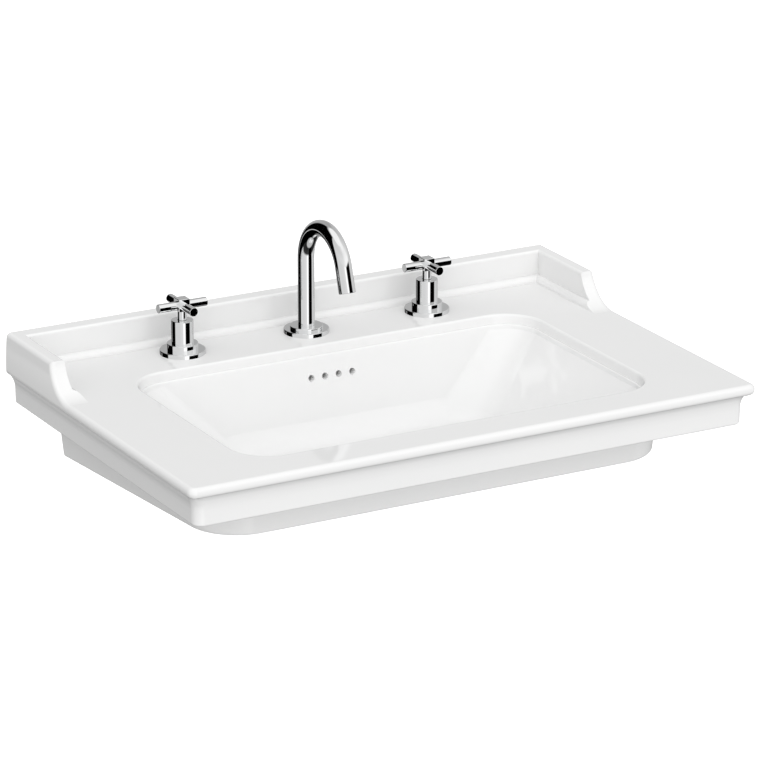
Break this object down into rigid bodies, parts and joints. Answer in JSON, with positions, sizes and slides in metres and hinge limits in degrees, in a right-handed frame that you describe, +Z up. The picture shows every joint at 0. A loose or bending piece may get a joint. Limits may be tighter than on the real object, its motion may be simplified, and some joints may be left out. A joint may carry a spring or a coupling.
{
  "type": "washbasin",
  "caption": "Wide traditional washbasin with a raised back and side upstand, moulded edge, deep bowl, swan-neck swivel spout and cross-handle taps.",
  "frame": {"origin": "middle of the wall face, level with the deck", "axes": "+X to the user's right, +Y into the wall, +Z up; the user stands on the -Y side"},
  "size_m": [0.8, 0.53, 0.3355],
  "materials": {
    "glaze": "smooth white glaze",
    "chrome": "polished",
    "brass": "as machined",
    "copper": "drawn copper tube",
    "steel": "satin",
    "rubber": "matt",
    "disc_ceramic": "lapped",
    "plastic": "moulded"
  },
  "bodies": {
    "basin": {"basin": "glaze", "cold_column": "chrome", "cold_disc_fixed": "disc_ceramic", "cold_flange": "chrome", "cold_headwork": "brass", "cold_link_tube": "copper", "cold_locknut": "brass", "cold_seal": "rubber", "cold_valve_body": "brass", "cold_washer": "steel", "hot_column": "chrome", "hot_disc_fixed": "disc_ceramic", "hot_flange": "chrome", "hot_headwork": "brass", "hot_link_tube": "copper", "hot_locknut": "brass", "hot_seal": "rubber", "hot_valve_body": "brass", "hot_washer": "steel", "link_nuts": "brass", "spout_flange": "chrome", "spout_locknut": "brass", "spout_seal": "rubber", "spout_shank": "brass", "spout_washer": "steel", "waste_backnut": "brass", "waste_body": "chrome", "waste_bottom_seal": "rubber", "waste_cartridge": "brass", "waste_spring": "steel", "waste_top_seal": "rubber", "waste_washer": "plastic"},
    "hot_handle": {"hot_disc_moving": "disc_ceramic", "hot_handle_arms": "chrome", "hot_handle_hub": "chrome", "hot_handle_screw": "steel", "hot_spindle": "brass"},
    "cold_handle": {"cold_disc_moving": "disc_ceramic", "cold_handle_arms": "chrome", "cold_handle_hub": "chrome", "cold_handle_screw": "steel", "cold_spindle": "brass"},
    "spout": {"aerator_housing": "plastic", "aerator_insert": "plastic", "aerator_seal": "rubber", "spout_circlip": "steel", "spout_o_rings": "rubber", "spout_tube": "chrome"},
    "plug": {"waste_plug": "chrome", "waste_stem": "steel"}
  },
  "joints": [
    {"name": "hot_turn", "type": "hinge", "parent": "basin", "child": "hot_handle", "pos_m": [-0.1805, -0.0664, 0], "axis": [0, 0, 1], "range_deg": [0, 90]},
    {"name": "cold_turn", "type": "hinge", "parent": "basin", "child": "cold_handle", "pos_m": [0.1805, -0.0664, 0], "axis": [0, 0, 1], "range_deg": [0, 90]},
    {"name": "spout_swivel", "type": "hinge", "parent": "basin", "child": "spout", "pos_m": [0, -0.0664, 0], "axis": [0, 0, 1], "range_deg": [-60, 60]},
    {"name": "plug_click", "type": "slide", "parent": "basin", "child": "plug", "axis": [0, 0, 1], "range_m": [-0.008, 0], "deforming": ["waste_spring"]}
  ]
}
